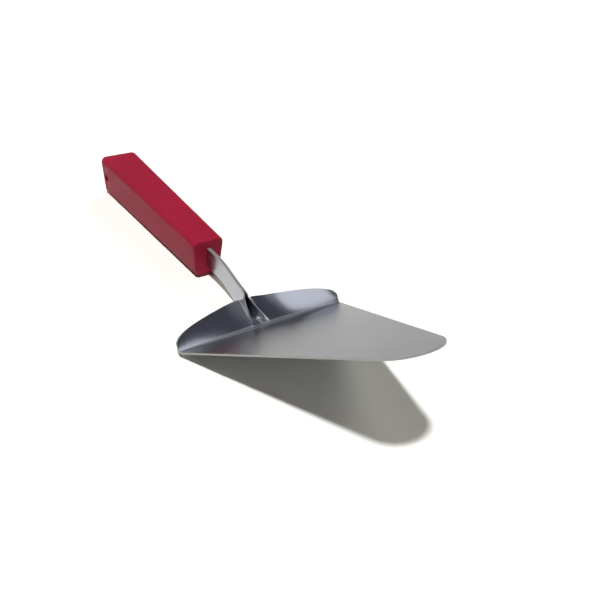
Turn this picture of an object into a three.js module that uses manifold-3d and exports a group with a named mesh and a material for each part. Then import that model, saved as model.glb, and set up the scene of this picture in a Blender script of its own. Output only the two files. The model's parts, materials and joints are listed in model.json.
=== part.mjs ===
// Brick trowel: one pressed sheet of stainless steel, folded at the heel into a thin upright neck and
// tang, with a red moulded handle pushed over the tang.
// Millimetres. Everything is drawn first in the blade's own frame, with the blade's upper face on z = 0,
// the heel crease on the y axis and the nose towards +x. The whole tool is then leaned back until the
// heel and the butt of the handle both touch the ground, which is how it rests on a table.

import * as THREE from 'three';
import * as BufferGeometryUtils from 'three/addons/utils/BufferGeometryUtils.js';
import Module from 'manifold-3d';

// ---- driving dimensions ----

// pressed sheet
const sheetThickness = 1.0;
const creaseWidth = 104;        // width of the blade at the heel crease
const bladeLength = 139;        // crease to the tip of the nose
const noseRadius = 18.1;
const creaseBlend = 1.6;        // flat strip in front of the crease that belongs to the bend

// heel wall, turned up behind the crease
const heelHeight = 13.6;        // height of the wall's top edge above the blade
const heelSweep = 17.8;         // how far back the top edge leans beside the neck
const heelEndHeight = 3.2;      // height of the short upright end at each corner
const heelEndRoundness = 3;     // powers that round the top edge down to the corners
const heelEndPower = 0.46;
const heelDish = 0.4;           // hollow of the wall between crease and top edge
const dishBack = 0.7;           // shares of the hollow that go back and down
const dishDown = 0.5;
const sweepStartShare = 0.51;   // share of the sweep that grows evenly from the corner
const fullSweepShare = 0.74;    // share of the half width over which the sweep grows
const wallStations = [0.26, 0.4, 0.54, 0.68, 0.8, 0.9, 0.96, 0.995]; // shares of the half width

// throat, where the wall folds into the neck
const throatKeelBack = 26.6;
const throatKeelRise = 12.0;
const ridgeBack = 13.5;
const ridgeRise = 15.0;
const ridgeHalfGap = 1.2;       // half the distance between the two ridges at the top of the wall
const creaseRidgeHalfGap = 6.0; // the same, down at the crease
const valleyBack = 17.9;        // shallow valley between each ridge and its wing
const valleyRise = 14.6;
const valleyHalfGap = 6.0;
const creaseValleyHalfGap = 8.5;
const shoulderShare = 0.5;      // the rounded step from each ridge down to its valley
const shoulderBackShare = 0.66;
const shoulderCreaseShare = 0.4;

// Two points that round each flank of the throat between its keel and its ridge, as shares of the way
// back, aside and up, and of the way out along the crease.
const lowerFlank = { back: 0.35, aside: 0.24, up: 0.32, crease: 0.32 };
const upperFlank = { back: 0.78, aside: 0.62, up: 0.75, crease: 0.72 };

const throatBendForward = 0.85; // free edge of the throat, how far it bows ahead of the ridge
const throatBendShare = 0.53;   // and how high on the way to the neck
const throatClosingPower = 1.8; // the two flanks close up faster near the heel than near the neck

// neck and tang: the sheet folded double and standing on edge
const neckDepth = 11.6;         // inside the fold, so one sheet less than the strip's whole height
const neckRootBack = 1.25;      // from the throat's keel to the start of the neck's keel
const neckRootRise = 1.55;
const neckRootFlare = 1.5;      // how much deeper it is where it leaves the throat
const neckFlareLength = 10;
const neckLength = 33.8;
const neckBendLength = 26;      // part of the neck that curves; the rest is straight
const neckRootSlope = 54;       // degrees above the blade where the neck leaves the throat
const foldHalfGap = 0.25;       // half the slit left between the two leaves
const tangLength = 76;          // part of the folded strip inside the handle
const tangEndTaper = 2.6;       // how much shallower the tang is at its end

// handle
const handleSlope = 28.2;       // degrees above the blade
const handleLength = 134.8;     // front face to the middle of the bowed butt
const frontTopWidth = 20.7;
const frontBottomWidth = 15.9;
const frontHeight = 23.5;
const buttTopWidth = 27.1;
const buttBottomWidth = 20.4;
const buttHeight = 27.2;
const handleEdgeRadius = 3.4;   // along the four long edges
const frontEdgeRadius = 1.2;
const smallestEdgeRadius = 0.6; // what the long edges keep where the ends round over
const buttEdgeRadius = 2.6;
const buttBow = 3.2;            // how far the middle of the butt stands behind its sides
const bowReach = 30;            // length over which the bow fades in
const tangAboveFaceBottom = 6.5; // inside of the tang's fold above the bottom of the front face
const tangClearance = 0.3;      // slot to tang, on every side
const hangingHoleDiameter = 4.6;
const hangingHoleFromButt = 8.5;

// how it stands
const steepestLean = 60;        // degrees; the search for the leaning angle ends here

// drawing steps
const bladeRows = 8;
const wallRows = 6;
const throatRows = 5;
const neckRows = 7;
const tangRows = 4;
const flankColumns = 5;
const wingColumns = 15;
const cornerSteps = 4;
const endSteps = 3;
const gripStations = 9;
const holeSides = 24;
const keelSteps = 24;
const leanSteps = 40;
const cutOverrun = 5;           // how far a cutting solid stands out of the face it opens
const weldDistance = 1e-4;

const radians = THREE.MathUtils.degToRad;
const lerp = THREE.MathUtils.lerp;

// ---- pressed sheet ----

// A point of the sheet in the blade's frame, on the y >= 0 half.
function at(x, y, z) {
  return new THREE.Vector3(x, y, z);
}

// Top edge of the heel wall at a distance y from the middle: it stays level over most of its length
// and rounds down to the corner, and it leans further back towards the neck.
function wallTop(y) {
  const half = creaseWidth / 2;
  const fromCorner = half - y;
  const level = 1 - Math.pow(y / half, heelEndRoundness);
  const z = lerp(heelEndHeight, heelHeight, Math.pow(Math.max(level, 0), heelEndPower));
  const reach = half * fullSweepShare;
  const share = fromCorner / reach;
  const x = -heelSweep * (sweepStartShare * share + (1 - sweepStartShare) * share * share);
  return at(x, y, z);
}

// The top row of the wall, from the keel of the throat over the ridge and the valley and out to the
// corner, with the matching distance from the middle on the crease for each of its points.
function wallKeyPoints() {
  const half = creaseWidth / 2;
  const keel = at(-throatKeelBack, 0, throatKeelRise);
  const ridge = at(-ridgeBack, ridgeHalfGap, ridgeRise);
  const valley = at(-valleyBack, valleyHalfGap, valleyRise);
  const shoulder = ridge.clone().lerp(valley, shoulderShare);
  shoulder.x = lerp(ridge.x, valley.x, shoulderBackShare);
  function flank(part) {
    return at(lerp(keel.x, ridge.x, part.back), ridge.y * part.aside, lerp(keel.z, ridge.z, part.up));
  }
  const pairs = [
    [keel, 0],
    [flank(lowerFlank), creaseRidgeHalfGap * lowerFlank.crease],
    [flank(upperFlank), creaseRidgeHalfGap * upperFlank.crease],
    [ridge, creaseRidgeHalfGap],
    [shoulder, lerp(creaseRidgeHalfGap, creaseValleyHalfGap, shoulderCreaseShare)],
    [valley, creaseValleyHalfGap],
  ];
  for (const share of wallStations) {
    pairs.push([wallTop(half * share), half * share]);
  }
  return pairs;
}

// Columns of the sheet: for each, the point on the crease line and the point on the wall's top row.
function wallColumns() {
  const pairs = wallKeyPoints();
  const topCurve = new THREE.CatmullRomCurve3(pairs.map((pair) => pair[0]), false, 'centripetal');
  const ridgeShare = pairs.findIndex((pair) => pair[1] === creaseRidgeHalfGap) / (pairs.length - 1);
  const columns = [];
  const total = flankColumns + wingColumns;
  for (let i = 0; i <= total; i += 1) {
    const inFlank = i <= flankColumns;
    const share = inFlank
      ? ridgeShare * i / flankColumns
      : lerp(ridgeShare, 1, (i - flankColumns) / wingColumns);
    const place = share * (pairs.length - 1);
    const before = Math.min(Math.floor(place), pairs.length - 2);
    const creaseY = lerp(pairs[before][1], pairs[before + 1][1], place - before);
    columns.push({ top: topCurve.getPoint(share), creaseY });
  }
  columns[0].top.y = 0;
  columns[total].creaseY = creaseWidth / 2;
  return columns;
}

// Flat blade: straight edges that run from the crease corners to a round nose.
function bladeRow(columns, share) {
  const half = creaseWidth / 2;
  const noseCentre = bladeLength - noseRadius;
  const cornerToCentre = Math.hypot(half, noseCentre);
  const edgeAngle = Math.atan2(half, noseCentre) - Math.asin(noseRadius / cornerToCentre);
  const arcEnd = Math.PI / 2 - edgeAngle;
  return columns.map((column) => {
    const angle = arcEnd * column.creaseY / half;
    const nose = at(noseCentre + noseRadius * Math.cos(angle), noseRadius * Math.sin(angle), 0);
    return at(0, column.creaseY, 0).lerp(nose, share);
  });
}

function wallRow(columns, share) {
  return columns.map((column) => {
    const point = at(0, column.creaseY, 0).lerp(column.top, share);
    const dish = heelDish * 4 * share * (1 - share);
    point.x -= dish * dishBack;
    point.z -= dish * dishDown;
    return point;
  });
}

// Keel line of the neck: an arc from the slope at its root to the slope of the handle.
function neckKeel(distance) {
  const start = neckStart();
  let x = start.x;
  let z = start.z;
  for (let i = 0; i < keelSteps; i += 1) {
    const middle = distance * (i + 0.5) / keelSteps;
    const slope = radians(neckSlopeAt(middle));
    x -= Math.cos(slope) * distance / keelSteps;
    z += Math.sin(slope) * distance / keelSteps;
  }
  return at(x, 0, z);
}

function neckSlopeAt(distance) {
  const share = THREE.MathUtils.clamp(distance / neckBendLength, 0, 1);
  return lerp(neckRootSlope, handleSlope, share);
}

function neckStart() {
  return at(-throatKeelBack - neckRootBack, 0, throatKeelRise + neckRootRise);
}

function neckDepthAt(distance) {
  const share = Math.max(1 - distance / neckFlareLength, 0);
  return neckDepth + neckRootFlare * share * share;
}

// One row of the folded strip: from the keel up one leaf to its free edge.
function foldedRow(keel, slope, depth) {
  const upright = at(Math.sin(slope), 0, Math.cos(slope));
  const row = [];
  for (let i = 0; i <= flankColumns; i += 1) {
    const share = i / flankColumns;
    const point = keel.clone().addScaledVector(upright, i === 0 ? 0 : lerp(foldHalfGap, depth, share));
    point.y = i === 0 ? 0 : foldHalfGap;
    row.push(point);
  }
  return row;
}

// Throat: the wall's top row between the ridges closes up into the first row of the neck.
function throatRow(topRow, neckRow, share) {
  const ease = share * share * (3 - 2 * share);
  const ridge = topRow[flankColumns];
  const neckTop = neckRow[flankColumns];
  const bend = at(ridge.x + throatBendForward, 0, lerp(ridge.z, neckTop.z, throatBendShare));
  const edge = new THREE.QuadraticBezierCurve3(ridge, bend, neckTop).getPoint(share);
  const straight = ridge.clone().lerp(neckTop, ease);
  const row = [];
  for (let i = 0; i <= flankColumns; i += 1) {
    const point = topRow[i].clone().lerp(neckRow[i], ease);
    const pull = Math.pow(i / flankColumns, 2);
    point.x += (edge.x - straight.x) * pull;
    point.z += (edge.z - straight.z) * pull;
    point.y = lerp(topRow[i].y, neckRow[i].y, 1 - Math.pow(1 - share, throatClosingPower));
    row.push(point);
  }
  row[0].y = 0;
  return row;
}

function sheetRows() {
  const columns = wallColumns();
  const rows = [];
  for (let i = 0; i < bladeRows; i += 1) {
    rows.push(bladeRow(columns, 1 - i / bladeRows));
  }
  rows.push(bladeRow(columns, creaseBlend / bladeLength));
  for (let i = 0; i <= wallRows; i += 1) {
    rows.push(wallRow(columns, i / wallRows));
  }
  const topRow = rows[rows.length - 1];
  const firstNeck = foldedRow(neckKeel(0), radians(neckRootSlope), neckDepthAt(0));
  for (let i = 1; i < throatRows; i += 1) {
    rows.push(throatRow(topRow, firstNeck, i / throatRows));
  }
  for (let i = 0; i <= neckRows; i += 1) {
    const distance = neckLength * i / neckRows;
    rows.push(foldedRow(neckKeel(distance), radians(neckSlopeAt(distance)), neckDepthAt(distance)));
  }
  for (let i = 1; i <= tangRows; i += 1) {
    const share = i / tangRows;
    const taper = tangEndTaper * share / 2;
    const slope = radians(handleSlope);
    const keel = neckKeel(neckLength + tangLength * share);
    keel.x += Math.sin(slope) * taper;
    keel.z += Math.cos(slope) * taper;
    rows.push(foldedRow(keel, slope, neckDepth - 2 * taper));
  }
  return rows;
}

// A closed sheet from its upper surface: rows hold the y >= 0 half, which is mirrored, and the lower
// surface lies one thickness below along the surface normals.
function sheetSolid(rows, thickness) {
  const points = [];
  const grid = rows.map((row) => {
    const line = [];
    for (let j = -(row.length - 1); j <= row.length - 1; j += 1) {
      const half = row[Math.abs(j)];
      line.push(points.length);
      points.push(at(half.x, j < 0 ? -half.y : half.y, half.z));
    }
    return line;
  });
  const triangles = [];
  for (let i = 0; i + 1 < grid.length; i += 1) {
    const ahead = grid[i];
    const behind = grid[i + 1];
    const skip = (ahead.length - behind.length) / 2;
    for (let j = 0; j + 1 < behind.length; j += 1) {
      const a = ahead[j + skip];
      const b = ahead[j + 1 + skip];
      const c = behind[j + 1];
      const d = behind[j];
      if (j < (behind.length - 1) / 2) {
        triangles.push([a, b, c], [a, c, d]);
      } else {
        triangles.push([a, b, d], [b, c, d]);
      }
    }
  }
  const normals = points.map(() => at(0, 0, 0));
  for (const [a, b, c] of triangles) {
    const ab = points[b].clone().sub(points[a]);
    const ac = points[c].clone().sub(points[a]);
    const normal = ab.cross(ac).normalize();
    for (const corner of [a, b, c]) {
      normals[corner].add(normal);
    }
  }
  const lower = points.map((point, i) => point.clone().addScaledVector(normals[i].normalize(), -thickness));
  const count = points.length;
  const index = [];
  const open = new Map();
  for (const [a, b, c] of triangles) {
    index.push(a, b, c, count + a, count + c, count + b);
    for (const [from, to] of [[a, b], [b, c], [c, a]]) {
      const back = `${to}_${from}`;
      if (open.has(back)) {
        open.delete(back);
      } else {
        open.set(`${from}_${to}`, [from, to]);
      }
    }
  }
  for (const [from, to] of open.values()) {
    index.push(from, count + from, count + to, from, count + to, to);
  }
  const position = [...points, ...lower].flatMap((point) => point.toArray());
  const geometry = new THREE.BufferGeometry();
  geometry.setAttribute('position', new THREE.Float32BufferAttribute(position, 3));
  geometry.setIndex(index);
  return geometry;
}

// ---- handle ----

// Rounded trapezium, as a ring of [y, z] points about its own middle, anticlockwise seen from behind.
function roundedSection(topWidth, bottomWidth, height, radius) {
  const corners = [
    [bottomWidth / 2, -height / 2],
    [topWidth / 2, height / 2],
    [-topWidth / 2, height / 2],
    [-bottomWidth / 2, -height / 2],
  ].map(([y, z]) => new THREE.Vector2(y, z));
  const ring = [];
  corners.forEach((corner, i) => {
    const before = corners[(i + 3) % 4].clone().sub(corner).normalize();
    const after = corners[(i + 1) % 4].clone().sub(corner).normalize();
    const halfAngle = Math.acos(THREE.MathUtils.clamp(before.dot(after), -1, 1)) / 2;
    const inward = before.clone().add(after).normalize();
    const centre = corner.clone().addScaledVector(inward, radius / Math.sin(halfAngle));
    const start = corner.clone().addScaledVector(before, radius / Math.tan(halfAngle)).sub(centre);
    const sweep = Math.PI - 2 * halfAngle;
    for (let k = 0; k <= cornerSteps; k += 1) {
      const point = start.clone().rotateAround(new THREE.Vector2(), sweep * k / cornerSteps).add(centre);
      ring.push(point);
    }
  });
  return ring;
}

// Section of the handle at a distance from its front face, drawn in by inset on all sides.
function handleRing(distance, inset) {
  const share = distance / handleLength;
  const topWidth = lerp(frontTopWidth, buttTopWidth, share) - 2 * inset;
  const bottomWidth = lerp(frontBottomWidth, buttBottomWidth, share) - 2 * inset;
  const height = lerp(frontHeight, buttHeight, share) - 2 * inset;
  const radius = Math.max(handleEdgeRadius - inset, smallestEdgeRadius);
  const toButt = THREE.MathUtils.smoothstep(distance, handleLength - bowReach, handleLength);
  return roundedSection(topWidth, bottomWidth, height, radius).map((point) => {
    const aside = Math.pow(2 * point.x / topWidth, 2);
    const bow = buttBow * aside * toButt;
    return at(distance - bow, point.x, point.y);
  });
}

// Solid of the handle along +x from its front face, before any cut: rings joined by strips, with the
// two end rings closed to their middles.
function handleLoft() {
  const rings = [];
  for (let k = endSteps; k >= 0; k -= 1) {
    const turn = Math.PI / 2 * k / endSteps;
    rings.push(handleRing(frontEdgeRadius * (1 - Math.sin(turn)), frontEdgeRadius * (1 - Math.cos(turn))));
  }
  for (let i = 1; i <= gripStations; i += 1) {
    const last = handleLength - buttEdgeRadius;
    rings.push(handleRing(lerp(frontEdgeRadius, last, i / gripStations), 0));
  }
  for (let k = 1; k <= endSteps; k += 1) {
    const turn = Math.PI / 2 * k / endSteps;
    const back = buttEdgeRadius * (1 - Math.sin(turn));
    rings.push(handleRing(handleLength - back, buttEdgeRadius * (1 - Math.cos(turn))));
  }
  const size = rings[0].length;
  const points = rings.flat();
  const index = [];
  for (let i = 0; i + 1 < rings.length; i += 1) {
    for (let j = 0; j < size; j += 1) {
      const a = i * size + j;
      const b = i * size + (j + 1) % size;
      index.push(a, b, b + size, a, b + size, a + size);
    }
  }
  const front = points.length;
  points.push(at(rings[0][0].x, 0, 0));
  const butt = points.length;
  points.push(at(handleLength, 0, 0));
  for (let j = 0; j < size; j += 1) {
    const next = (j + 1) % size;
    const last = (rings.length - 1) * size;
    index.push(front, next, j, butt, last + j, last + next);
  }
  const geometry = new THREE.BufferGeometry();
  geometry.setAttribute('position', new THREE.Float32BufferAttribute(points.flatMap((p) => p.toArray()), 3));
  geometry.setIndex(index);
  return geometry;
}

// Height of the tang's keel line in the handle's frame, whose x axis is the middle of the handle.
function tangKeelHeight() {
  return -frontHeight / 2 + tangAboveFaceBottom;
}

// Blind slot for the tang, open at the front face.
function tangSlot() {
  const outerKeel = tangKeelHeight() - sheetThickness - tangClearance;
  const upperEdge = tangKeelHeight() + neckDepth + tangClearance;
  const width = 2 * (foldHalfGap + sheetThickness + tangClearance);
  const length = tangLength + tangClearance;
  const slot = new THREE.BoxGeometry(length + cutOverrun, width, upperEdge - outerKeel);
  slot.translate((length - cutOverrun) / 2, 0, (upperEdge + outerKeel) / 2);
  return slot;
}

function hangingHole() {
  const radius = hangingHoleDiameter / 2;
  const hole = new THREE.CylinderGeometry(radius, radius, buttTopWidth + 2 * cutOverrun, holeSides);
  hole.translate(handleLength - hangingHoleFromButt, 0, 0);
  return hole;
}

// ---- cutting ----

const wasm = await Module();
wasm.setup();

function toSolid(geometry) {
  const bare = geometry.clone();
  bare.deleteAttribute('normal');
  bare.deleteAttribute('uv');
  const merged = BufferGeometryUtils.mergeVertices(bare, weldDistance);
  return new wasm.Manifold(new wasm.Mesh({
    numProp: 3,
    vertProperties: merged.attributes.position.array,
    triVerts: new Uint32Array(merged.index.array),
  }));
}

function toGeometry(solid) {
  const mesh = solid.getMesh();
  const geometry = new THREE.BufferGeometry();
  geometry.setAttribute('position', new THREE.BufferAttribute(new Float32Array(mesh.vertProperties), 3));
  geometry.setIndex(new THREE.BufferAttribute(new Uint32Array(mesh.triVerts), 1));
  return geometry;
}

// ---- assembly ----

const steel = new THREE.MeshStandardMaterial({
  name: 'stainless_steel',
  color: 0xa3a4a8,
  roughness: 0.32,
  metalness: 1,
});
const plastic = new THREE.MeshStandardMaterial({
  name: 'red_plastic',
  color: 0x9e2440,
  roughness: 0.45,
  metalness: 0,
});

const blade = new THREE.Mesh(sheetSolid(sheetRows(), sheetThickness), steel);
blade.name = 'blade';

const handleSolid = toSolid(handleLoft()).subtract(toSolid(tangSlot())).subtract(toSolid(hangingHole()));
const handle = new THREE.Mesh(toGeometry(handleSolid), plastic);
handle.name = 'handle';

// The handle's front face stands where the neck ends, with the keel of the tang in its slot.
const slope = radians(handleSlope);
const keelEnd = neckKeel(neckLength);
const drop = tangKeelHeight();
handle.position.set(keelEnd.x - Math.sin(slope) * drop, 0, keelEnd.z - Math.cos(slope) * drop);
handle.quaternion.setFromRotationMatrix(new THREE.Matrix4().makeBasis(
  at(-Math.cos(slope), 0, Math.sin(slope)),
  at(0, -1, 0),
  at(Math.sin(slope), 0, Math.cos(slope)),
));

const tool = new THREE.Group();
tool.add(blade, handle);

// Leaning angle at which the heel and the butt touch the ground together.
function lowest(object) {
  return new THREE.Box3().setFromObject(object, true).min.z;
}

let low = 0;
let high = radians(steepestLean);
for (let i = 0; i < leanSteps; i += 1) {
  const middle = (low + high) / 2;
  tool.rotation.y = -middle;
  tool.updateMatrixWorld(true);
  if (lowest(handle) > lowest(blade)) {
    low = middle;
  } else {
    high = middle;
  }
}

const trowel = new THREE.Group();
trowel.add(tool);
trowel.updateMatrixWorld(true);
const box = new THREE.Box3().setFromObject(trowel, true);
tool.position.set(-(box.min.x + box.max.x) / 2, 0, -box.min.z);
trowel.updateMatrixWorld(true);

export default trowel;
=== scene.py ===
import json
import math
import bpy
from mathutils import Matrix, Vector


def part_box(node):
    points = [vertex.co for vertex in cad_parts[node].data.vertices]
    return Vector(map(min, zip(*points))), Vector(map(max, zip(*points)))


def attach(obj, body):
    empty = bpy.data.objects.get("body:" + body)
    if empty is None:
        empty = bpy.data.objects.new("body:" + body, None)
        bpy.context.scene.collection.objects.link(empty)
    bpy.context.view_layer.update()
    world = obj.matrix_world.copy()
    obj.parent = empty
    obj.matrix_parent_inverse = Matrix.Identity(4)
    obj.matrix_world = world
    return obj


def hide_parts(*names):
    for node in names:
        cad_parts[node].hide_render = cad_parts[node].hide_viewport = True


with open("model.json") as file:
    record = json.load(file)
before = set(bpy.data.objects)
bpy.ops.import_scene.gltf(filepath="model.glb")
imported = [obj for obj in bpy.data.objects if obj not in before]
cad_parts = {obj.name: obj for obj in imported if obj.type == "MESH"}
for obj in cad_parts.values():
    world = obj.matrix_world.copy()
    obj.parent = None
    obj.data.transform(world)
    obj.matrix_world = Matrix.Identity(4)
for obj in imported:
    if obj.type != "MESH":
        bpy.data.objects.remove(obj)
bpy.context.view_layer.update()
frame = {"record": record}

import bmesh
import bpy
from mathutils import Matrix, Vector

# ---- pressed sheet: blade, heel, neck and tang ----
# One blank of 1 mm stainless steel. The blade is left flat, the heel is pressed up behind a straight
# crease, and the strip behind it is folded double on edge to make the neck and the hidden tang.
# Points are first set in the blade's own frame: x towards the nose, y along the crease, z off the blade.

MM = 0.001
thickness = 1.0 * MM
half_crease = 52.0 * MM
blade_length = 139.0 * MM
nose_radius = 18.1 * MM
heel_height = 13.6 * MM
heel_sweep = 17.8 * MM
heel_end_height = 3.2 * MM
heel_end_roundness = 3  # how suddenly the top edge drops at the corners
heel_end_fullness = 0.46
heel_dish = 0.4 * MM
dish_direction = Vector((0.7, 0, 0.5))
heel_foot_share = 0.12  # the lowest part of the wall, which belongs to the bend
crease_blend = 1.6 * MM
sweep_start_share = 0.51
sweep_width_share = 0.74
keel = Vector((-26.6, 0, 12.0)) * MM  # middle of the fold, deepest in the throat
ridge = Vector((-13.5, 1.2, 15.0)) * MM  # where the free edge of the neck sets off
valley = Vector((-17.9, 6.0, 14.6)) * MM  # where the wing of the heel begins, beside the throat
crease_at_ridge = 6.0 * MM
crease_at_valley = 8.5 * MM
throat_edge_bulge = 0.85 * MM
throat_edge_rise_share = 0.53
throat_closing_power = 1.8
neck_depth = 11.6 * MM
neck_root_flare = 1.5 * MM
neck_flare_length = 10.0 * MM
neck_root_step = Vector((-1.25, 0, 1.55)) * MM  # from the keel of the throat to that of the neck
neck_length = 33.8 * MM
neck_bend_length = 26.0 * MM
neck_root_slope = math.radians(54)
handle_slope = math.radians(28.2)
fold_half_gap = 0.12 * MM
fold_share = 0.1  # the part of a folded row that goes round the fold itself
tang_length = 76.0 * MM
tang_end_taper = 2.6 * MM
deburred_width = 0.16 * MM
least_sheared_angle = math.radians(50)

# How finely the sheet is drawn: steps across half of it, then steps along each stretch of it.
fold_turn_steps, fold_climb_steps, wing_steps = 4, 16, 76
blade_steps, crease_steps, heel_steps, throat_steps, neck_steps, tang_steps = 40, 6, 18, 14, 24, 4

mount_axis = frame["record"]["mounts"][0]["axis"]
blade_pitch = math.atan2(mount_axis[0], -mount_axis[2])
blade_high = Vector(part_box("blade")[1])
along = Vector((math.cos(blade_pitch), 0, math.sin(blade_pitch)))
above = Vector((-math.sin(blade_pitch), 0, math.cos(blade_pitch)))
nose_tip = Vector((blade_high.x - thickness * math.sin(blade_pitch), 0, blade_high.z))
crease_middle = nose_tip - along * blade_length


def in_place(point):
    """A point of the blade's own frame, moved to where the leaning tool has it."""
    return crease_middle + along * point.x + Vector((0, point.y, 0)) + above * point.z


def mix(a, b, share):
    return a + (b - a) * share


def smooth_through(points, share):
    """Centripetal spline through the points, share running from 0 at the first to 1 at the last."""
    place = min(share, 1 - 1e-9) * (len(points) - 1)
    i = int(place)
    t = place - i
    p1, p2 = points[i], points[i + 1]
    p0 = points[i - 1] if i > 0 else p1 * 2 - p2
    p3 = points[i + 2] if i + 2 < len(points) else p2 * 2 - p1
    d0, d1, d2 = (max((b - a).length ** 0.5, 1e-6) for a, b in ((p0, p1), (p1, p2), (p2, p3)))
    m1 = ((p1 - p0) / d0 - (p2 - p0) / (d0 + d1) + (p2 - p1) / d1) * d1
    m2 = ((p2 - p1) / d1 - (p3 - p1) / (d1 + d2) + (p3 - p2) / d2) * d1
    return p1 + m1 * t + (p2 * 3 - p1 * 3 - m1 * 2 - m2) * t**2 + (p1 * 2 - p2 * 2 + m1 + m2) * t**3


def wall_top(y):
    """Top edge of the heel at a distance y from the middle: level, rounded down to the corner."""
    level = max(1 - (y / half_crease) ** heel_end_roundness, 0) ** heel_end_fullness
    share = (half_crease - y) / (half_crease * sweep_width_share)
    lean = sweep_start_share * share + (1 - sweep_start_share) * share * share
    return Vector((-heel_sweep * lean, y, mix(heel_end_height, heel_height, level)))


# The top edge of the heel as key points from the middle outwards, each with the place on the crease
# that the column of sheet below it starts from. Two of them shape the throat between keel and ridge,
# as shares of the way: back, aside, up and along the crease. The last eight follow the wing, as
# shares of its width, closer together where the corner is rounded.
wall_keys = [(keel, 0)]
for back, aside, up, out in ((0.35, 0.24, 0.32, 0.32), (0.78, 0.62, 0.75, 0.72)):
    point = Vector((mix(keel.x, ridge.x, back), ridge.y * aside, mix(keel.z, ridge.z, up)))
    wall_keys.append((point, crease_at_ridge * out))
wall_keys.append((ridge, crease_at_ridge))
ridge_number = len(wall_keys) - 1
shoulder = ridge.lerp(valley, 0.5)
shoulder.x = mix(ridge.x, valley.x, 0.66)
wall_keys.append((shoulder, mix(crease_at_ridge, crease_at_valley, 0.4)))
wall_keys.append((valley, crease_at_valley))
for share in (0.26, 0.4, 0.54, 0.68, 0.8, 0.9, 0.96, 0.995):
    wall_keys.append((wall_top(half_crease * share), half_crease * share))
ridge_share = ridge_number / (len(wall_keys) - 1)
key_points = [point for point, _ in wall_keys]
key_creases = [crease_y for _, crease_y in wall_keys]

fold_shares = [fold_share * k / fold_turn_steps for k in range(fold_turn_steps)]
fold_shares += [mix(fold_share, 1, k / fold_climb_steps) for k in range(fold_climb_steps + 1)]
shares = [ridge_share * share for share in fold_shares]
shares += [mix(ridge_share, 1, k / wing_steps) for k in range(1, wing_steps + 1)]


def column(share):
    """Top of one column of sheet, and the place on the crease where the column starts."""
    place = min(share, 1 - 1e-9) * (len(key_points) - 1)
    i = int(place)
    return smooth_through(key_points, share), mix(key_creases[i], key_creases[i + 1], place - i)


columns = [column(share) for share in shares]
columns[-1] = (columns[-1][0], half_crease)


def blade_row(share):
    """One row of the flat blade, share running from 0 at the crease to 1 at the nose and edges."""
    centre = blade_length - nose_radius
    edge_angle = math.atan2(half_crease, centre)
    edge_angle -= math.asin(nose_radius / math.hypot(half_crease, centre))
    row = []
    for _, crease_y in columns:
        angle = (math.pi / 2 - edge_angle) * crease_y / half_crease
        nose = Vector((centre + nose_radius * math.cos(angle), nose_radius * math.sin(angle), 0))
        row.append(Vector((0, crease_y, 0)).lerp(nose, share))
    return row


def wall_row(share):
    """One row of the heel, from the crease to its top edge, with the hollow the press left in it."""
    row = []
    for top, crease_y in columns:
        point = Vector((0, crease_y, 0)).lerp(top, share)
        dish = heel_dish * 4 * share * (1 - share)
        row.append(point - dish_direction * dish)
    return row


def bend_row(share):
    """One row round the crease: a small curve from the flat blade into the foot of the wall."""
    ahead = blade_row(crease_blend / blade_length)
    behind = wall_row(heel_foot_share)
    row = []
    for i, (_, crease_y) in enumerate(columns):
        corner = Vector((0, crease_y, 0))
        row.append(ahead[i].lerp(corner, share).lerp(corner.lerp(behind[i], share), share))
    return row


def neck_slope(distance):
    return mix(neck_root_slope, handle_slope, min(max(distance / neck_bend_length, 0), 1))


def neck_keel(distance):
    """The lower edge of the neck, followed from its root in small steps round its bend."""
    point = keel + neck_root_step
    for i in range(neck_steps):
        slope = neck_slope(distance * (i + 0.5) / neck_steps)
        point = point + Vector((-math.cos(slope), 0, math.sin(slope))) * (distance / neck_steps)
    return point


def neck_depth_at(distance):
    return neck_depth + neck_root_flare * max(1 - distance / neck_flare_length, 0) ** 2


def folded_row(keel_point, slope, depth):
    """Half of a cut across the fold: round its lower edge, then up one leaf."""
    upright = Vector((math.sin(slope), 0, math.cos(slope)))
    row = []
    for share in fold_shares:
        turn = min(share / fold_share, 1) * math.pi / 2
        climb = max(share - fold_share, 0) / (1 - fold_share) * (depth - fold_half_gap)
        point = keel_point + upright * (fold_half_gap * (1 - math.cos(turn)) + climb)
        point.y = fold_half_gap * math.sin(turn)
        row.append(point)
    return row


def throat_row(top_row, neck_row, share):
    """One row between the heel's open V and the closed neck; its outer edge follows a soft bend."""
    ease = share * share * (3 - 2 * share)
    edge_start, edge_end = top_row[len(fold_shares) - 1], neck_row[-1]
    bend_height = mix(edge_start.z, edge_end.z, throat_edge_rise_share)
    bend = Vector((edge_start.x + throat_edge_bulge, 0, bend_height))
    edge = edge_start.lerp(bend, share).lerp(bend.lerp(edge_end, share), share)
    pull = edge - edge_start.lerp(edge_end, ease)
    row = []
    for i, up_the_leaf in enumerate(fold_shares):
        point = top_row[i].lerp(neck_row[i], ease) + pull * up_the_leaf**2
        point.y = mix(top_row[i].y, neck_row[i].y, 1 - (1 - share) ** throat_closing_power)
        row.append(point)
    return row


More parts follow.
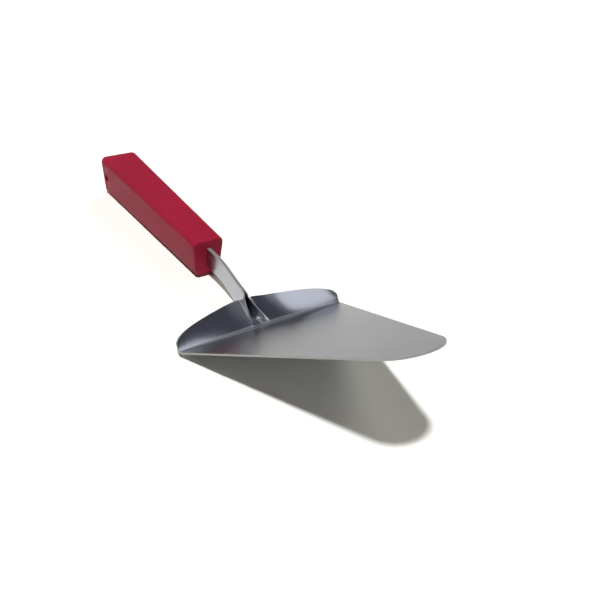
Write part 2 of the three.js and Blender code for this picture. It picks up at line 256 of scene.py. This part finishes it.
def sheet_rows():
    """The upper surface, row after row from the nose to the end of the tang."""
    blend_share = crease_blend / blade_length
    rows = [blade_row(mix(1, blend_share, k / blade_steps)) for k in range(blade_steps)]
    rows += [bend_row(k / crease_steps) for k in range(crease_steps + 1)]
    rows += [wall_row(mix(heel_foot_share, 1, k / heel_steps)) for k in range(1, heel_steps + 1)]
    first_neck = folded_row(neck_keel(0), neck_root_slope, neck_depth_at(0))
    top_row = rows[-1]
    rows += [throat_row(top_row, first_neck, k / throat_steps) for k in range(1, throat_steps)]
    for k in range(neck_steps + 1):
        distance = neck_length * k / neck_steps
        rows.append(folded_row(neck_keel(distance), neck_slope(distance), neck_depth_at(distance)))
    for k in range(1, tang_steps + 1):
        taper = tang_end_taper / 2 * k / tang_steps
        point = neck_keel(neck_length + tang_length * k / tang_steps)
        point = point + Vector((math.sin(handle_slope), 0, math.cos(handle_slope))) * taper
        rows.append(folded_row(point, handle_slope, neck_depth - 2 * taper))
    return rows


# The materials of the sheet are joined to its mesh in this order.
satin_slot, mirror_slot, edge_slot, bend_slot = range(4)

sheet = bmesh.new()
grid = []
for row in sheet_rows():
    line = []
    for j in range(1 - len(row), len(row)):
        half = row[abs(j)]
        line.append(sheet.verts.new(in_place(Vector((half.x, math.copysign(half.y, j), half.z)))))
    grid.append(line)
for i in range(len(grid) - 1):
    ahead, behind = grid[i], grid[i + 1]
    skip = (len(ahead) - len(behind)) // 2
    for j in range(len(behind) - 1):
        face = sheet.faces.new((ahead[j + skip], ahead[j + 1 + skip], behind[j + 1], behind[j]))
        face.material_index = mirror_slot
        if i < blade_steps:
            face.material_index = satin_slot
        elif i < blade_steps + crease_steps:
            face.material_index = bend_slot
        face.smooth = True
sheet.normal_update()
upper_faces = list(sheet.faces)
lower = {}
for vert in list(sheet.verts):
    lower[vert] = sheet.verts.new(vert.co - vert.normal * thickness)
open_edges = [edge for edge in sheet.edges if edge.is_boundary]
for face in upper_faces:
    under = sheet.faces.new([lower[vert] for vert in reversed(face.verts)])
    under.material_index = face.material_index
    under.smooth = True
for edge in open_edges:
    face = edge.link_faces[0]
    start, end = edge.verts
    loop = next(l for l in face.loops if l.edge == edge)
    if loop.vert != start:
        start, end = end, start
    side = sheet.faces.new((start, lower[start], lower[end], end))
    side.material_index = edge_slot
    side.smooth = True
blade_mesh = bpy.data.meshes.new("pressed_blade")
sheet.to_mesh(blade_mesh)
sheet.free()
blade_piece = bpy.data.objects.new("pressed_blade", blade_mesh)
bpy.context.collection.objects.link(blade_piece)

soft_edge = blade_piece.modifiers.new("deburred edges", "BEVEL")
soft_edge.width = deburred_width
soft_edge.segments = 2
soft_edge.limit_method = "ANGLE"
soft_edge.angle_limit = least_sheared_angle
soft_edge.harden_normals = True
soft_edge.material = -1


def linear(hex_colour):
    """An sRGB hex colour as the linear RGBA that the shader takes."""
    channels = [int(hex_colour[i:i + 2], 16) / 255 for i in (1, 3, 5)]
    return [c / 12.92 if c <= 0.04045 else ((c + 0.055) / 1.055) ** 2.4 for c in channels] + [1]


def add_node(material, kind, settings=None, inputs=None, links=None):
    """Adds one shader node, sets its properties and input values, and links its inputs."""
    tree = material.node_tree
    node = tree.nodes.new(kind)
    for name, value in (settings or {}).items():
        setattr(node, name, value)
    for name, value in (inputs or {}).items():
        node.inputs[name].default_value = value
    for name, socket in (links or {}).items():
        tree.links.new(socket, node.inputs[name])
    return node


def new_material(name):
    """An empty node material and its Principled shader."""
    material = bpy.data.materials.new(name)
    material.use_nodes = True
    return material, material.node_tree.nodes["Principled BSDF"]


def tone_between(material, low, high, factor):
    """A colour that drifts between two hex colours with a factor from 0 to 1."""
    tone = add_node(material, "ShaderNodeValToRGB", {}, {}, {"Fac": factor})
    for element, (place, colour) in zip(tone.color_ramp.elements, (low, high)):
        element.position = place
        element.color = linear(colour)
    return tone.outputs["Color"]


def noise(material, width, detail, vector):
    """Noise whose spots are about as wide as the given length in metres."""
    inputs = {"Scale": 1 / width, "Detail": detail}
    return add_node(material, "ShaderNodeTexNoise", {}, inputs, {"Vector": vector}).outputs["Fac"]


def between(material, low, high, factor):
    """A value that drifts between low and high with a factor from 0 to 1."""
    inputs = {"To Min": low, "To Max": high}
    return add_node(material, "ShaderNodeMapRange", {}, inputs, {"Value": factor}).outputs[0]


def satin_ground_steel():
    """Belt-ground sheet: fine lines along the blade draw the light out into a broad, soft sheen, and
    slow clouds in roughness and tone keep the large flat from looking even."""
    line_length, line_width = 16.667 * MM, 0.625 * MM  # coarser than real grinding lines of 0.1 mm
    cloud_width = 35.714 * MM  # a few clouds across the blade, as uneven belt pressure leaves
    satin, shader = new_material("satin-ground stainless steel")
    shader.inputs["Metallic"].default_value = 1.0
    place = add_node(satin, "ShaderNodeTexCoord").outputs["Object"]
    scale = {"Scale": (1 / line_length, 1 / line_width, 1 / line_length)}
    stretch = add_node(satin, "ShaderNodeMapping", {}, scale, {"Vector": place})
    lines = noise(satin, 1.0, 3.0, stretch.outputs["Vector"])
    clouds = noise(satin, cloud_width, 4.0, place)
    terms = {0: between(satin, 0.30, 0.38, clouds), 1: between(satin, -0.03, 0.03, lines)}
    roughness = add_node(satin, "ShaderNodeMath", {"operation": "ADD"}, {}, terms)
    relief = {"Strength": 0.05, "Distance": 0.1 * MM}
    bump = add_node(satin, "ShaderNodeBump", {}, relief, {"Height": lines})
    tone = tone_between(satin, (0.3, "#a7a8ae"), (0.7, "#b2b3b7"), clouds)
    links = satin.node_tree.links
    links.new(roughness.outputs[0], shader.inputs["Roughness"])
    links.new(tone, shader.inputs["Base Color"])
    links.new(bump.outputs["Normal"], shader.inputs["Normal"])
    return satin


def mirror_polished_steel():
    """Buffed heel, neck and tang: nearly a mirror, dark where it faces the dark of the room and bright
    where it faces a card, with a faint haze of polishing compound."""
    haze_width = 16.667 * MM  # a finger's width, as a soft buffing wheel leaves
    mirror, shader = new_material("mirror-polished stainless steel")
    shader.inputs["Metallic"].default_value = 1.0
    place = add_node(mirror, "ShaderNodeTexCoord").outputs["Object"]
    haze = noise(mirror, haze_width, 5.0, place)
    links = mirror.node_tree.links
    links.new(between(mirror, 0.20, 0.26, haze), shader.inputs["Roughness"])
    links.new(tone_between(mirror, (0.0, "#a9acb4"), (1.0, "#b7b9be"), haze), shader.inputs["Base Color"])
    return mirror


def sheared_steel_edge():
    """Cut edge, sheared and then deburred: a dull pale line, half of its light scattered by the torn
    grain of the metal, roughened by nicks of about 1.4 mm, coarser than real ones of 0.2 mm."""
    nick_width = 1.4286 * MM
    edge, shader = new_material("sheared and deburred steel edge")
    shader.inputs["Metallic"].default_value = 0.5
    shader.inputs["Base Color"].default_value = linear("#a3a3a0")
    place = add_node(edge, "ShaderNodeTexCoord").outputs["Object"]
    roughness = between(edge, 0.45, 0.6, noise(edge, nick_width, 2.0, place))
    edge.node_tree.links.new(roughness, shader.inputs["Roughness"])
    return edge


def burnished_bend_with_painted_highlight():
    """Crease rubbed by the edge of the press tool: a duller line between satin and mirror, its rub marks
    about 6.7 mm long. Its paler base colour is a painted highlight along the crease."""
    rub_width = 6.667 * MM
    bend, shader = new_material("burnished press-brake bend with painted highlight")
    shader.inputs["Metallic"].default_value = 1.0
    # Paler than the satin and mirror steel: a painted highlight along the crease. The rougher rub marks
    # below are the burnish.
    shader.inputs["Base Color"].default_value = linear("#c4c5c9")
    place = add_node(bend, "ShaderNodeTexCoord").outputs["Object"]
    roughness = between(bend, 0.42, 0.56, noise(bend, rub_width, 3.0, place))
    bend.node_tree.links.new(roughness, shader.inputs["Roughness"])
    return bend


for material in (satin_ground_steel(), mirror_polished_steel(), sheared_steel_edge(), burnished_bend_with_painted_highlight()):
    blade_mesh.materials.append(material)

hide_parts("blade")
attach(blade_piece, "root")

# ---- handle ----
# A solid injection-moulded grip in red plastic, flaring towards a bowed butt and narrower below than
# above. It is pushed over the tang through a slot in its flat front face, of which only the mouth's
# outline is drawn here; a hole at the butt hangs it.
# Its own frame has x from the front face towards the butt, y across and z up, square to the grip.

handle_length = 134.8 * MM
front_top, front_bottom, front_height = 20.7 * MM, 15.9 * MM, 23.5 * MM
butt_top, butt_bottom, butt_height = 27.1 * MM, 20.4 * MM, 27.2 * MM
edge_radius = 3.4 * MM
front_edge_radius = 1.2 * MM
butt_edge_radius = 2.6 * MM
butt_bow = 3.2 * MM
bow_reach = 30.0 * MM
tang_above_face_bottom = 6.5 * MM
tang_keel_height = tang_above_face_bottom - front_height / 2
tang_clearance = 0.3 * MM
hole_radius = 2.3 * MM
hole_from_butt = 8.5 * MM
hole_flare = 0.9 * MM
least_edge_radius = 0.6 * MM
cutter_overrun = 5 * MM
least_sharp_angle = math.radians(35)

# How finely the handle is drawn: along its length, round its edges and round the hole.
front_steps, grip_steps, butt_steps, corner_steps, flare_steps, hole_sides = 8, 60, 10, 10, 6, 48
butt_cap_scales = (0.8, 0.6, 0.4, 0.2)

keel_end = neck_keel(neck_length)
down_the_grip = Vector((-math.cos(handle_slope), 0, math.sin(handle_slope)))
grip_up = Vector((math.sin(handle_slope), 0, math.cos(handle_slope)))
front_middle = keel_end - grip_up * tang_keel_height


def on_grip(point):
    """A point of the handle's own frame, moved to where the leaning tool has it."""
    return in_place(front_middle + down_the_grip * point.x + Vector((0, -point.y, 0)) + grip_up * point.z)


def rounded_section(top, bottom, height, radius):
    """A trapezium with rounded corners, as a ring of points."""
    corners = [Vector((bottom, -height)) / 2, Vector((top, height)) / 2]
    corners += [Vector((-top, height)) / 2, Vector((-bottom, -height)) / 2]
    ring = []
    for i, corner in enumerate(corners):
        before = (corners[i - 1] - corner).normalized()
        after = (corners[(i + 1) % 4] - corner).normalized()
        half_angle = math.acos(before.dot(after)) / 2
        centre = corner + (before + after).normalized() * (radius / math.sin(half_angle))
        arm = corner + before * (radius / math.tan(half_angle)) - centre
        for k in range(corner_steps + 1):
            turn = (math.pi - 2 * half_angle) * k / corner_steps
            ring.append(centre + Matrix.Rotation(turn, 2) @ arm)
    return ring


def grip_ring(distance, inset):
    """The outline of the grip at a distance from its front face, drawn in by the inset."""
    share = distance / handle_length
    top = mix(front_top, butt_top, share) - 2 * inset
    bottom = mix(front_bottom, butt_bottom, share) - 2 * inset
    height = mix(front_height, butt_height, share) - 2 * inset
    radius = max(edge_radius - inset, least_edge_radius)
    reach = min(max((distance - handle_length + bow_reach) / bow_reach, 0), 1)
    to_butt = reach * reach * (3 - 2 * reach)
    ring = []
    for point in rounded_section(top, bottom, height, radius):
        bow = butt_bow * (2 * point.x / top) ** 2 * to_butt
        ring.append(Vector((distance - bow, point.x, point.y)))
    return ring


def grip_rings():
    """All outlines from the front face, round its small edge, along the grip and round the butt."""
    rings = []
    for k in range(front_steps, -1, -1):
        turn = math.pi / 2 * k / front_steps
        inset = front_edge_radius * (1 - math.cos(turn))
        rings.append(grip_ring(front_edge_radius * (1 - math.sin(turn)), inset))
    straight_end = handle_length - butt_edge_radius
    for k in range(1, grip_steps + 1):
        rings.append(grip_ring(mix(front_edge_radius, straight_end, k / grip_steps), 0))
    for k in range(1, butt_steps + 1):
        turn = math.pi / 2 * k / butt_steps
        back = butt_edge_radius * (1 - math.sin(turn))
        rings.append(grip_ring(handle_length - back, butt_edge_radius * (1 - math.cos(turn))))
    return rings


def mesh_object(name, bm):
    """A new object in the scene that holds the finished mesh."""
    mesh = bpy.data.meshes.new(name)
    bm.to_mesh(mesh)
    bm.free()
    piece = bpy.data.objects.new(name, mesh)
    bpy.context.collection.objects.link(piece)
    return piece


def join_rings(mesh, near, far):
    """A closed band of faces between two rings with the same number of points."""
    count = len(near)
    for j in range(count):
        mesh.faces.new((near[j], near[(j + 1) % count], far[(j + 1) % count], far[j]))


grip = bmesh.new()
outlines = grip_rings()
rings = [[grip.verts.new(on_grip(point)) for point in outline] for outline in outlines]
for near, far in zip(rings, rings[1:]):
    join_rings(grip, near, far)
grip.faces.new(list(reversed(rings[0])))
previous = rings[-1]
for scale in butt_cap_scales:
    ring = []
    for point in outlines[-1]:
        y, z = point.y * scale, point.z * scale
        bow = butt_bow * (2 * y / (butt_top - 2 * butt_edge_radius)) ** 2
        ring.append(grip.verts.new(on_grip(Vector((handle_length - bow, y, z)))))
    join_rings(grip, previous, ring)
    previous = ring
grip.faces.new(previous)
bmesh.ops.recalc_face_normals(grip, faces=grip.faces)
handle_piece = mesh_object("moulded_handle", grip)


def slot_cutter():
    """A block the size of the tang and its clearance. It is inside out, so its cut only draws the
    mouth's outline on the front face: the slot stays filled and the hidden tang runs on in plastic."""
    cutter = bmesh.new()
    bmesh.ops.create_cube(cutter, size=1)
    low = tang_keel_height - thickness - tang_clearance
    high = tang_keel_height + neck_depth + tang_clearance
    width = 2 * (fold_half_gap + thickness + tang_clearance)
    length = tang_length + tang_clearance
    for vert in cutter.verts:
        x = length if vert.co.x > 0 else -cutter_overrun
        z = high if vert.co.z > 0 else low
        vert.co = on_grip(Vector((x, math.copysign(width / 2, vert.co.y), z)))
    bmesh.ops.recalc_face_normals(cutter, faces=cutter.faces)
    return mesh_object("slot cutter", cutter)


def hole_cutter():
    """A pin through both sides that flares where it leaves the moulding."""
    cutter = bmesh.new()
    side = (butt_top + butt_bottom) / 4
    profile = [(-2 * side, hole_radius + 3 * hole_flare)]
    for k in range(flare_steps + 1):
        depth = math.sin(math.pi / 2 * k / flare_steps)
        profile.append((hole_flare * depth - side, hole_radius + hole_flare * (1 - depth**2)))
    profile += [(-y, r) for y, r in reversed(profile)]
    rings = []
    for y, radius in profile:
        ring = []
        for k in range(hole_sides):
            turn = 2 * math.pi * k / hole_sides
            x = handle_length - hole_from_butt + radius * math.cos(turn)
            ring.append(cutter.verts.new(on_grip(Vector((x, y, radius * math.sin(turn))))))
        rings.append(ring)
    for near, far in zip(rings, rings[1:]):
        join_rings(cutter, near, far)
    cutter.faces.new(rings[0])
    cutter.faces.new(rings[-1])
    bmesh.ops.recalc_face_normals(cutter, faces=cutter.faces)
    return mesh_object("hole cutter", cutter)


for cutter in (slot_cutter(), hole_cutter()):
    cut = handle_piece.modifiers.new("cut", "BOOLEAN")
    cut.operation = "DIFFERENCE"
    cut.solver = "EXACT"
    cut.object = cutter
    bpy.context.view_layer.objects.active = handle_piece
    with bpy.context.temp_override(object=handle_piece, active_object=handle_piece):
        bpy.ops.object.modifier_apply(modifier=cut.name)
    bpy.data.objects.remove(cutter)
handle_piece.data.shade_smooth()
chosen = {"object": handle_piece, "active_object": handle_piece, "selected_objects": [handle_piece]}
with bpy.context.temp_override(**chosen):
    bpy.ops.object.shade_smooth_by_angle(angle=least_sharp_angle)


def moulded_red_plastic():
    """Injection-moulded, from a finely blasted mould: a deep red with hardly any gloss. Its grain of
    about 0.7 mm is coarser than the real 0.1 mm; slow patches break up the long flat sides."""
    grain_width, patch_width = 0.7143 * MM, 28.571 * MM
    plastic, shader = new_material("injection-moulded red plastic")
    shader.inputs["IOR"].default_value = 1.49
    shader.inputs["Specular IOR Level"].default_value = 0.1
    place = add_node(plastic, "ShaderNodeTexCoord").outputs["Object"]
    grain = noise(plastic, grain_width, 2.0, place)
    patches = noise(plastic, patch_width, 3.0, place)
    relief = {"Strength": 0.12, "Distance": 0.1 * MM}
    bump = add_node(plastic, "ShaderNodeBump", {}, relief, {"Height": grain})
    tone = tone_between(plastic, (0.35, "#8c1a30"), (0.65, "#921c34"), patches)
    links = plastic.node_tree.links
    links.new(tone, shader.inputs["Base Color"])
    links.new(between(plastic, 0.42, 0.52, patches), shader.inputs["Roughness"])
    links.new(bump.outputs["Normal"], shader.inputs["Normal"])
    return plastic


handle_piece.data.materials.clear()
handle_piece.data.materials.append(moulded_red_plastic())
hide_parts("handle")
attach(handle_piece, "root")

# ---- floor, light and camera ----
# A plain white table under a small distant key lamp and three weaker fills. Two large cards are there
# only for the steel to mirror, in a dark room; straight to the camera the room is a pale backdrop.

floor_half_width = 4.0
floor_bm = bmesh.new()
bmesh.ops.create_grid(floor_bm, x_segments=1, y_segments=1, size=floor_half_width)
floor = mesh_object("floor", floor_bm)
floor_material, floor_shader = new_material("white laminate table")
floor_shader.inputs["Base Color"].default_value = linear("#faf9f2")
floor_shader.inputs["Roughness"].default_value = 0.6
floor.data.materials.append(floor_material)

world = bpy.data.worlds.new("studio")
bpy.context.scene.world = world
world.use_nodes = True
world.cycles_visibility.diffuse = False
brightest_way = {1: (0.15, -0.62, 0.77)}
direction = add_node(world, "ShaderNodeTexCoord").outputs["Generated"]
settings = {"operation": "DOT_PRODUCT"}
facing = add_node(world, "ShaderNodeVectorMath", settings, brightest_way, {0: direction})
room = add_node(world, "ShaderNodeValToRGB", {}, {}, {"Fac": facing.outputs["Value"]})
room.color_ramp.elements[0].color = linear("#52525b")
room.color_ramp.elements[1].color = linear("#7c7d85")
room.color_ramp.elements.new(0.3).color = linear("#55555f")
sky = world.node_tree.nodes["Background"]
world.node_tree.links.new(room.outputs["Color"], sky.inputs["Color"])
backdrop = add_node(world, "ShaderNodeBackground", {}, {"Color": linear("#e7e7e6")})
to_camera = add_node(world, "ShaderNodeLightPath").outputs["Is Camera Ray"]
choices = {0: to_camera, 1: sky.outputs["Background"], 2: backdrop.outputs["Background"]}
seen = add_node(world, "ShaderNodeMixShader", {}, {}, choices)
surface = world.node_tree.nodes["World Output"].inputs["Surface"]
world.node_tree.links.new(seen.outputs["Shader"], surface)


def softbox(name, towards, distance, width, length, power, colour):
    """A lamp that faces the crease from the given direction; lengths in metres, power in watts."""
    light = bpy.data.lights.new(name, "AREA")
    light.shape = "RECTANGLE"
    light.size = width
    light.size_y = length
    light.energy = power
    light.color = linear(colour)[:3]
    lamp = bpy.data.objects.new(name, light)
    away = Vector(towards).normalized()
    lamp.location = crease_middle + away * distance
    lamp.rotation_mode = "QUATERNION"
    lamp.rotation_quaternion = away.to_track_quat("Z", "Y")
    lamp.visible_camera = False
    bpy.context.collection.objects.link(lamp)
    return lamp


key = softbox("key softbox", (0.20, -0.25, 1.0), 6.0, 0.44, 0.44, 395, "#fbfcff")
back_fill = softbox("back fill", (-0.36, 0.64, 0.62), 3.0, 1.6, 1.6, 29, "#fffdf7")
front_fill = softbox("front fill", (0.30, -0.34, 0.90), 3.0, 1.2, 1.2, 4, "#ffecc8")
side_fill = softbox("side fill", (-0.62, -0.46, 0.62), 3.0, 0.9, 0.9, 2.4, "#fff6e7")
card = softbox("overhead reflector", (0.43, 0.03, 0.90), 2.4, 2.5, 4.0, 33, "#f8faff")
back_card = softbox("back reflector", (-0.86, -0.10, 0.44), 2.6, 2.4, 2.4, 6.5, "#fafcff")
for lamp in (key, back_fill, front_fill):
    lamp.visible_glossy = False
for lamp in (card, back_card):
    lamp.visible_diffuse = False

# The camera stands ahead of the nose and to one side, a little above the blade, and is tilted over.
# Its place, line of sight and upward direction are in the blade's own frame, the place in metres.
camera_data = bpy.data.cameras.new("camera")
camera_data.lens = 48  # millimetres
camera = bpy.data.objects.new("camera", camera_data)
bpy.context.collection.objects.link(camera)
camera.location = in_place(Vector((0.3844, -0.2024, 0.0849)))
look = along * -0.8472 + Vector((0, 0.5036, 0)) + above * -0.1698
camera_up = along * -0.0435 + Vector((0, 0.2527, 0)) + above * 0.9666
camera_right = look.cross(camera_up).normalized()
camera_up = camera_right.cross(look).normalized()
camera.rotation_mode = "QUATERNION"
turned = Matrix((camera_right, camera_up, -look.normalized())).transposed()
camera.rotation_quaternion = turned.to_quaternion()
bpy.context.scene.camera = camera
bpy.context.scene.view_settings.view_transform = "Standard"
